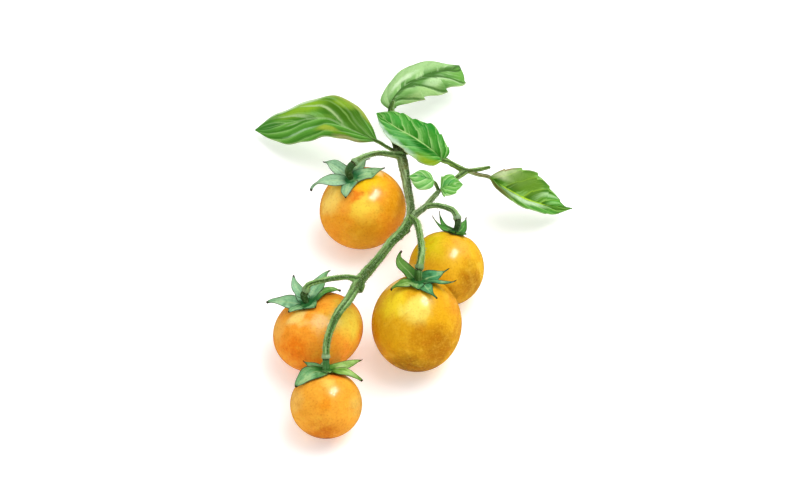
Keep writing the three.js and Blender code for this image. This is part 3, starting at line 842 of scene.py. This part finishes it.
# Sepals: bearing round the stalk and reach down the fruit in degrees, lift of the tip and width in millimetres,
# then how far the tip veers in degrees and drops, how much one edge stands over the other, and the share of the
# length where the thin tail begins.
SEPALS = {
    1: [(8, 38.7, 0.4, 6.2, -11, -4, 0.7, 0.92), (67, 49, 2, 4.2, -5, -0.2, 0, 1),
        (132, 34.5, 7.8, 5, 7.5, 1.9, -0.9, 0.9), (188, 43.5, 9, 5.2, 5.3, 3.8, -0.6, 0.76),
        (255, 33, 0.3, 6, -2.4, -0.2, 0, 1)],
    2: [(58, 20, 3, 5.4, 9, -2.4, 0.5, 0.95), (160, 26, 1, 4.4, -20, -5.2, -0.8, 0.95),
        (190, 29, 0.4, 4.6, -12, -4.1, -0.8, 0.95), (270, 20, 0.4, 6, 0, 0, 0, 1),
        (322, 18, 0.6, 5.5, 0, 0, 0, 1)],
    3: [(41.5, 55.5, 1.4, 5.6, -2.4, 1.1, 0, 1), (65, 60, 6.6, 4.6, 0.7, -0.5, 0.5, 1),
        (111.5, 30.6, 6.8, 4, -3.6, 0.3, 0.3, 1), (171, 39, 6.3, 5.2, 2.7, 0.7, -0.9, 0.95),
        (216, 25, 1.4, 3.4, -3.7, 0, -0.3, 1), (305, 20, 0.3, 6, 0, 0, 0, 1)],
    4: [(-9.7, 39, 2.9, 3.8, 12, -0.7, -0.3, 0.95), (26, 36, 2.6, 6.6, 5.3, -2, 0.7, 0.84),
        (132, 36, 7.8, 4.4, -16.8, 0, -0.4, 1), (211, 37, 2.2, 4.2, 10, -1, -0.3, 0.9),
        (262, 22, 0.3, 7, 6, 0, 0, 1), (299, 39.5, 0.8, 4.6, 2, -1.4, 0.3, 0.85)],
    5: [(28, 45, 5.2, 5.4, 3, -1.8, 1, 1), (96, 28, 3, 4.5, 0, 0, 0, 1),
        (147.5, 33.5, 3.1, 4.4, -1, -0.9, -0.8, 0.95), (219, 60, 0.6, 9.8, -6, 0, -1.6, 0.97),
        (278, 26, 0.4, 5.5, 0, 0, 0, 1), (341, 56.6, 2.2, 4.8, -4.4, -0.5, 0.8, 0.9)],
}
# Two greens for the left half and two for the right, the deeper one first, then the edge's brown and the paler
# green painted as light on the sepals that stand up.
CALYX_COLOURS = {
    1: (("468858", "a2cc9c"), ("4c8c54", "a6d096"), "30281a", "b2d8b0"),
    2: (("2c6c28", "5a9c40"), ("2c6c28", "62aa4c"), "2c2018", "5a9c4c"),
    3: (("3a7c44", "94c68c"), ("3a7a26", "6cac4e"), "2c3018", "a4d2b0"),
    4: (("447a24", "7fa848"), ("256632", "58a06a"), "30281a", "4c803c"),
    5: (("34742e", "86ba80"), ("4c8a1e", "a8d070"), "2c2c14", "a8d090"),
}
for number, fruit in fruits.items():
    leafage = Leafage()
    hub(leafage, fruit)
    for index, shape in enumerate(SEPALS[number]):
        sepal(leafage, fruit, *shape, index)
    mesh = leafage.mesh(f"crown_{number}")
    mesh.materials.append(calyx_finish(f"crown_green_{number}", fruit, *CALYX_COLOURS[number]))
    placed(f"crown_{number}", mesh, "calyx", f"calyx_{number}")

# The leaves: four leaves and two small leaflets, each on its own stalk, which runs on under the blade as its rib.
# A blade is thin and quilted between its veins, with a paler back. It is drawn between its rib and two edges.
LEAF_ROWS = 170
FIRST_ROW = 2  # a blade starts a little past its rib's foot
LEAF_COLUMNS = 16  # on each side of the rib
ARCH = 0.12  # of each half, as a share of its width

# Millimetres. Each leaf's petiole, its rib, and its far and near edges between the rib's ends. Its stalk: radius
# and green. Its teeth: how many, their depth on the two edges, and where the first begins. Its relief on the two
# sides of the rib. Its waves: how many and how high. Its veins: how many, their slant, the quilting between them
# and the fold at each. Its lines: their width, and how clear they are far, near and along the rib. Its greens:
# deep, middle, light and vein, where deep to light across each field is painted shade and light. Its patches,
# and bands along its veins: place along and across, reach both ways, colour and share.
LEAVES = {
    "left": {
        "petiole": [(-5.8, 30.6, 21.4), (-9, 33, 21.1), (-12.1, 36, 20.5)],
        "rib": [(-12.1, 36, 20.5), (-23, 42.5, 20), (-28.5, 47.5, 18.5), (-34, 50.5, 15.5), (-39.5, 52.5, 12),
         (-45.5, 54, 8.5), (-50.5, 55.5, 5), (-54.5, 56.5, 3)],
        "far": [(-14, 42, 21.5), (-17.5, 49.5, 21), (-22.5, 55.5, 20), (-29, 58.5, 18.5), (-37.5, 58.5, 15),
         (-44, 58.5, 11), (-49, 59, 7)],
        "near": [(-19, 36.5, 19.5), (-24, 39, 18.5), (-29.5, 41.5, 16.5), (-35, 43, 13), (-40.5, 45, 9),
         (-45, 47.5, 6.5), (-49.5, 51.5, 4.5)],
        "stalk": (0.62, "86b05a"), "teeth": (0, 0, 0, 0), "relief": (0.35, 0.35), "waves": (5, 0.5),
        "veins": (4, 0.62, 0.45, 0), "lines": (0.2, 0.12, 0.1, 0.3),
        "greens": ("3c7a1e", "5f9f38", "84ba60", "b6d696"),
        "patches": [(0.62, 0.55, 0.24, 0.45, "8cb82c", 0.9), (0.3, 0.5, 0.26, 0.6, "3f6c10", 0.9),
         (0.3, 0.97, 0.3, 0.2, "a3aa48", 0.75), (0.36, 0.72, 0.1, 0.2, "8aae2e", 0.8),
         (0.38, -0.55, 0.12, 0.2, "b2c03c", 0.75), (0.26, -0.68, 0.09, 0.2, "5c8f12", 0.8),
         (0.93, 0, 0.14, 0.9, "3a7c2e", 0.6), (0.75, 0.95, 0.3, 0.22, "d8eac8", 0.8),
         (0.2, -0.95, 0.16, 0.3, "a89a6c", 0.7), (0.45, 0.08, 0.12, 0.1, "6fa137", 0.6),
         (0.15, 0.3, 0.12, 0.5, "4c7c26", 0.6), (0.56, -0.5, 0.14, 0.3, "559434", 0.6)],
        "bands": [(0.27, 0.42, 0.035, 0.4, "b2ce8c", 0.85), (0.55, 0.3, 0.04, 0.3, "b4d494", 0.7),
         (0.27, -0.6, 0.05, 0.2, "b0daa4", 0.6), (0.1, 0.45, 0.03, 0.35, "7ea650", 0.7),
         (0.62, -0.15, 0.05, 0.12, "a4c884", 0.6)],
    },
    "top": {
        "petiole": [(-5, 30.9, 21), (-5.8, 35, 20.6), (-6.6, 42, 19), (-7.5, 52, 18)],
        "rib": [(-7.5, 52, 18), (-7, 56, 19), (-4.5, 60.5, 19), (-1.5, 64, 19), (1.5, 66.5, 18), (6, 71, 16),
         (10.5, 75, 13), (13.5, 78, 10.5), (16, 82, 8)],
        "far": [(-11, 56, 18), (-10, 61, 18), (-7, 67, 17.5), (-4, 71.5, 17), (0.5, 75.5, 16), (5.5, 78.5, 14),
         (12, 80.5, 10.5)],
        "near": [(-4.5, 56.5, 16.5), (-0.5, 58.3, 16), (3.3, 59.8, 15.5), (6.5, 63.4, 14.5), (11, 66.8, 12.5),
         (15, 70.2, 10.5), (17.7, 75, 8.5)],
        "stalk": (1.45, "4a6c24"), "teeth": (4, 0.15, 1.5, 0.7), "relief": (0.12, 1.3), "waves": (3, 1),
        "veins": (4, 0.32, 0.6, 0.8), "lines": (0.2, 0.1, 0.9, 0.9),
        "greens": ("588c40", "84b864", "b8d89e", "44702e"),
        # The small pale patch at (0.35, 0.4) is a painted highlight; the dark band along the rib at (0.47, -0.1)
        # is partly the rib's deep green and partly painted shade in its fold.
        "patches": [(0.5, 0.62, 0.62, 0.55, "a4cc88", 0.95), (0.35, 0.4, 0.2, 0.2, "cfe6bc", 0.8),
         (0, 0, 0.11, 1.2, "44641e", 0.9), (0.47, -0.1, 0.6, 0.19, "42702c", 0.95),
         (0.35, -0.75, 0.22, 0.3, "a6cc82", 0.75), (0.53, -0.45, 0.14, 0.22, "c0e0a8", 0.7),
         (0.85, -0.6, 0.15, 0.5, "68a442", 0.85), (0.8, -0.02, 0.2, 0.3, "4c7832", 0.9),
         (0.97, 0, 0.08, 1, "3f6a2c", 0.7)],
    },
    "middle": {
        "petiole": [(13.9, 26.1, 19.4), (12.2, 26.4, 20.7), (10, 27, 21)],
        "rib": [(10, 27, 21), (6.5, 29, 23.5), (2, 31.5, 25.5), (-1.5, 33.5, 26.5), (-5, 36, 26.5),
         (-9, 40.5, 25.5), (-12.5, 46.5, 23)],
        "far": [(12, 28.5, 23), (10, 32.5, 25.5), (7, 36.5, 27), (2.5, 38, 28), (-3, 41.5, 27.5),
         (-8, 45, 25.5)],
        "near": [(6.5, 23, 23), (2.5, 22.5, 25), (-1.3, 24.8, 26.5), (-4.6, 28.3, 27), (-8, 31, 27),
         (-11, 38, 26)],
        "stalk": (0.85, "8cb656"), "teeth": (7, 0.8, 0.4, 0), "relief": (0.75, 0.3), "waves": (3, 0.4),
        "veins": (6, 0.38, 0.35, 0), "lines": (0.09, 0.4, 0.12, 0.9),
        "greens": ("2c7e1a", "62ab46", "9cd07a", "b6d888"),
        "patches": [(0.5, -0.45, 0.3, 0.4, "58a254", 0.8), (0.6, -1.05, 0.4, 0.38, "cbe4cc", 0.95),
         (0.26, -0.28, 0.22, 0.3, "0c640e", 0.95), (0.17, -0.9, 0.18, 0.36, "86a01a", 0.95),
         (0.4, 0.75, 0.22, 0.35, "1c861e", 0.85), (0.7, 0.4, 0.2, 0.4, "4fa844", 0.6),
         (0.95, 0, 0.1, 0.8, "4f9a2e", 0.5), (0.19, -0.6, 0.1, 0.18, "5c9c30", 0.7),
         (0.3, 0.58, 0.09, 0.24, "3f8f24", 0.75)],
    },
    "right": {
        "petiole": [(18.4, 25, 17.8), (22, 24.5, 16.6), (25.5, 24, 16)],
        "rib": [(25.5, 24, 16), (30, 19.5, 16), (34, 17.5, 14.5), (38, 17, 12), (42, 17.5, 9.5), (46, 18.5, 7),
         (49.5, 20, 5), (54, 21.5, 2.5)],
        "far": [(29, 24.5, 18), (33.5, 26, 18), (38.5, 26, 16.5), (43, 25.5, 14), (46, 23.5, 10.5),
         (49, 21.8, 7), (51.5, 20.8, 4.5)],
        "near": [(27, 19.5, 17), (30, 15.5, 17), (34.5, 12.5, 15.5), (39, 13, 12.5), (44.5, 13.5, 9),
         (49.5, 17.5, 5)],
        "stalk": (0.7, "75683f"), "teeth": (6, 0.9, 0.4, 0), "relief": (0.8, 0.6), "waves": (3, 0.4),
        "veins": (5, 0.4, 0.5, 0.25), "lines": (0.08, 0.25, 0.2, 0.9),
        "greens": ("3c6c1a", "5c9628", "94c466", "c0e83c"),
        "patches": [(0.2, 0.62, 0.2, 0.42, "c2d09c", 0.9), (0.1, 1, 0.24, 0.2, "8a5c44", 0.9),
         (0.3, 0.22, 0.1, 0.14, "46621c", 0.85), (0.4, 0.5, 0.24, 0.5, "628c26", 0.9),
         (0.8, 0.45, 0.2, 0.6, "55a03c", 0.75), (0.45, -0.4, 0.3, 0.4, "c4e2b4", 0.85),
         (0.15, -0.8, 0.2, 0.4, "5a4a2a", 0.8), (0.65, -0.85, 0.3, 0.3, "4f9a3c", 0.7),
         (0.97, 0, 0.08, 0.9, "2f7a26", 0.8), (0.62, 0.74, 0.06, 0.2, "3f7a24", 0.6)],
        "bands": [(0.5, 0.5, 0.05, 0.45, "b4da9c", 0.7), (0.68, 0.3, 0.05, 0.3, "8fc870", 0.8),
         (0.28, 0.5, 0.12, 0.45, "5c8424", 0.7), (0.1, 0.62, 0.08, 0.3, "6a8f38", 0.4)],
    },
    "small_1": {
        "petiole": [(8.3, 13.3, 21.9), (7.6, 13.6, 23.9), (7, 14, 25)],
        "rib": [(7, 14, 25), (4.5, 14.5, 26), (2, 15, 26.5), (-1.5, 15.5, 26)],
        "far": [(5.5, 16.5, 26.5), (2.5, 18, 26.5)],
        "near": [(6, 10.5, 26), (1.5, 10, 26)],
        "stalk": (0.6, "7f9a50"), "teeth": (0, 0, 0, 0), "relief": (1, 1), "waves": (1, 0.2),
        "veins": (3, 0.6, 0.1, 0), "lines": (0.1, 0.7, 0.7, 0.6),
        "greens": ("5fa848", "98ca76", "c6e4a8", "368a30"),
        "patches": [(0.5, 0, 0.6, 0.25, "3f9a4c", 0.5)],
    },
    "small_2": {
        "petiole": [(9.2, 13, 21.7), (9.6, 12.9, 22.4), (10, 12.9, 23)],
        "rib": [(9, 12.5, 23), (11.5, 13, 24), (14, 13.5, 24), (16.5, 14, 23.5)],
        "far": [(10, 16.5, 24.5), (13, 17, 24.5)],
        "near": [(10.5, 9, 24), (14, 10.5, 24)],
        "stalk": (0.6, "7f9a50"), "teeth": (3, 0.9, 0.9, 0), "relief": (1, 1), "waves": (1, 0.2),
        "veins": (3, 0.9, 0.12, 0), "lines": (0.1, 0.7, 0.7, 0.6),
        "greens": ("56a03c", "86c25e", "b8dc98", "2c8230"),
        "patches": [(0.4, 0.3, 0.4, 0.25, "3f9a4c", 0.6)],
    },
}


def blade(leafage, leaf):
    """The blade's sheet, quilted between its veins, with teeth that point forward and a waved edge."""
    foot, tip = leaf["rib"][0], leaf["rib"][-1]
    lines = [foot, *leaf["far"], tip], leaf["rib"], [foot, *leaf["near"], tip]
    far, rib, near = (evenly(line, LEAF_ROWS)[0] for line in lines)
    (teeth, *tooth_depths, first_tooth), (waves, wave_height) = leaf["teeth"], leaf["waves"]
    veins, slant, quilt, fold = leaf["veins"]
    relief_shares = leaf["relief"]
    sides = [column / LEAF_COLUMNS for column in range(LEAF_COLUMNS, -LEAF_COLUMNS - 1, -1)]
    if (rib[-1] - rib[0]).cross(near[LEAF_ROWS // 2] - far[LEAF_ROWS // 2]).z < 0:
        sides.reverse()
    shares = [row / LEAF_ROWS for row in range(FIRST_ROW, LEAF_ROWS)]
    rows = []
    for t in shares:
        step = round(t * LEAF_ROWS)
        fade = math.sin(math.pi * t)
        edges = []
        for index, edge in enumerate((far, near)):
            margin = edge[step].copy()
            outward = (margin - rib[step]).normalized()
            margin += outward * tooth_depths[index] * ((teeth * t + first_tooth) % 1) * fade
            height = wave_height * min(1, 2 * relief_shares[index])
            margin.z += height * math.sin(2 * math.pi * waves * t + 2 * index) * fade
            edges.append(margin)
        row = []
        for side in sides:
            margin = edges[0] if side > 0 else edges[1]
            point = rib[step].lerp(margin, abs(side))
            point.z += ARCH * (margin - rib[step]).length * (1 - (2 * abs(side) - 1) ** 2)
            row.append(point)
        rows.append(row)

    def relief(t, side):
        away = abs(side)
        phase = (veins * (t - slant * away**1.25)) % 1
        fade = math.sin(math.pi * t) ** 0.6 * min(1, away * 4) * (1 - away**4)
        valley = -0.18 * bell(away, 0.06) * (1 - t)
        height = quilt * math.sin(math.pi * phase) ** 0.7 + fold * (phase - 0.5) * away
        return height * fade * relief_shares[0 if side > 0 else 1] + valley

    def thick(t, side):
        return 0.6 - 0.35 * abs(side) ** 3

    leafage.sheet(rows, sides, shares, relief, thick)


def blade_finish(name, leaf):
    """Veined green: each field between two veins goes from deep to light, painted shade and light as if its
    quilting were lit, over a paler back.
    """
    deep, middle, light, vein = (dye(code) for code in leaf["greens"])
    veins, slant = leaf["veins"][:2]
    line_width, far_line, near_line, rib_line = leaf["lines"]
    graph = finish_of(name)
    along, across, face = graph.axes(graph.given("leafy"))
    place = graph.place()
    wash = graph.noise(place, 150, 4, 0.5)
    grains = graph.noise(place, 1400)
    side = across.math("ABSOLUTE")
    drift = wash - 0.5
    phase = (along - slant * side**1.25 + drift * 0.08) * veins
    field = phase.math("FRACT")
    wander = graph.node("ShaderNodeCombineXYZ", {"X": phase * 7.0, "Y": across * 2.5, "Z": along})
    streaks = graph.noise(wander, 1, 3, 0.5)
    waver = streaks - 0.5
    lines = 0.5 - (field - 0.5).math("ABSOLUTE")
    drawn = graph.fade(lines + side * 0.03 + drift * 0.1, line_width, line_width * 0.25)

    def blotted(colour, blots, run, ragged, start, full):
        """Oval blots: where each lies along run and across the blade, its reach both ways, colour and share."""
        for at, over, long, wide, code, share in blots:
            off_along, off_across = (run - at) * (1 / long), (across - over) * (1 / wide)
            away = (off_along * off_along + off_across * off_across) ** 0.5 + ragged
            colour = graph.stained(colour, (code, away, start, full, share))
        return colour

    # Painted shade and light: each field darkens towards one vein and lightens towards the next.
    colour = graph.stained(
        deep,
        (middle, field + waver * 0.7, 0.1, 0.95, 1),
        (light, field + waver * 0.9, 0.6, 1.05, 0.75),
    )
    colour = blotted(colour, leaf["patches"], along, drift * 0.8, 1.1, 0.3)
    colour = graph.tint(drawn * graph.fade(across, -0.05, 0.05, near_line, far_line), colour, vein)
    colour = graph.stained(
        colour,
        (vein, side + along * 0.03, 0.085, 0.04, rib_line),
        (light, streaks, 0.55, 0.75, 0.4),
    )
    colour = blotted(colour, leaf.get("bands", ()), phase * (1 / veins), waver * 1.2, 1.2, 0.2)
    colour = graph.stained(
        colour,
        ("c8d8a0", side + drift * 0.1, 0.93, 0.99, 0.5),
        (deep, grains, 0.5, 0.72, 0.22),
        ("a3c48c", face, 0.6, 0.4, 0.75),
    )
    relief = streaks * 0.5 + lines * 0.8 + grains * 0.12
    return coat(graph, colour, 0.62 - 0.12 * wash, relief, depth=0.00022, Specular_IOR_Level=0.02)


STALK_UNDER = 0.65  # from a blade's rib down to the middle of its stalk
STALK_TAPER = (1, 1, 0.6, 0.45, 0.3)
STALK_SIZES = {"Sides": 14, "Lump height": 0.0001}

for name, leaf in LEAVES.items():
    small = name.startswith("small")
    node = f"leaflet_{name[-1]}" if small else f"leaf_{name}"
    slot = "leaflet" if small else node
    leafage = Leafage()
    blade(leafage, leaf)
    mesh = leafage.mesh(f"blade_{name}")
    mesh.materials.append(blade_finish(f"blade_green_{name}", leaf))
    placed(f"blade_{name}", mesh, slot, node)

    radius, green = leaf["stalk"]
    under = [Vector(point) - Vector((0, 0, STALK_UNDER)) for point in leaf["rib"][1:-1]]
    wires = Wires()
    wires.add([*leaf["petiole"], *under], [share * radius for share in STALK_TAPER], green, wood=0.2)
    stalk = grown(f"stalk_{name}", twig_tree, wires.mesh(f"stalk_wire_{name}"), STALK_SIZES)
    wires.mark(stalk)
    placed(f"stalk_{name}", stalk, slot)

# The table: a plain, pale, matt surface that the sprig lies on, a little uneven like stretched paper.
# It isn't part of the sprig. Its faint glow keeps it nearly white, so that the shadows stay soft.
TABLE_REACH = 4
TABLE_GLOW = 0.27

graph = finish_of("table_white")
place = graph.place()
tooth = graph.noise(place, 700)
colour = graph.tint(graph.noise(place, 3), dye("f8f8f8"), dye("f4f4f4"))
table_white = coat(
    graph, colour, 0.9 - 0.1 * tooth, tooth, depth=0.00002,
    Emission_Color=(1, 1, 1, 1), Emission_Strength=TABLE_GLOW,
)
corners = [(x * TABLE_REACH, y * TABLE_REACH, 0) for x, y in ((-1, -1), (1, -1), (1, 1), (-1, 1))]
mesh = mesh_of("table", corners, [], [(0, 1, 2, 3)])
mesh.materials.append(table_white)
table = shown("table", mesh)
table.visible_glossy = False

# The light: a bright even room, a broad soft lamp overhead, a little to the right, and within it a smaller one
# that only shows in gloss and gives each fruit its highlight.
ROOM = 0.76  # strength of the room's own light
ROOM_LOST_IN_GLOSS = 0.6
LAMP_PLACE = Vector((0.34, 0.14, 0.85))
LAMP_AIM = Vector((0, -0.01, 0.02))
LAMP_TURN = math.radians(-50)
LAMPS = {"broad_lamp": (0.8, 0.8, 6, True), "glint_lamp": (0.5, 0.26, 42, False)}  # sides, watts, broad

world = bpy.data.worlds.new("room")
world.use_nodes = True
bpy.context.scene.world = world
background = world.node_tree.nodes["Background"].inputs
background["Color"].default_value = (1, 1, 1, 1)
in_gloss = Graph(world.node_tree).node("ShaderNodeLightPath")["Is Glossy Ray"]
world.node_tree.links.new((ROOM - in_gloss * ROOM_LOST_IN_GLOSS).socket, background["Strength"])
for name, (width, height, watts, broad) in LAMPS.items():
    data = bpy.data.lights.new(name, "AREA")
    data.shape = "RECTANGLE"
    data.size, data.size_y, data.energy = width, height, watts
    lamp = shown(name, data)
    lamp.location = LAMP_PLACE
    aimed = (LAMP_PLACE - LAMP_AIM).to_track_quat("Z", "Y")
    lamp.rotation_euler = (aimed @ Quaternion((0, 0, 1), LAMP_TURN)).to_euler()
    lamp.visible_diffuse = broad
    lamp.visible_glossy = not broad

# The camera looks down on the sprig from its near side, steeply enough that the sprig shows its whole length.
CAMERA_PLACE = (-0.0045, -0.9707, 1.1631)
CAMERA_TILT = math.radians(40)
CAMERA_REACH = 20

data = bpy.data.cameras.new("camera")
data.sensor_width, data.lens, data.clip_end = 36, 202.5, CAMERA_REACH
camera = shown("camera", data)
camera.location = CAMERA_PLACE
camera.rotation_euler = (CAMERA_TILT, 0, 0)
bpy.context.scene.camera = camera
bpy.context.scene.view_settings.view_transform = "Standard"
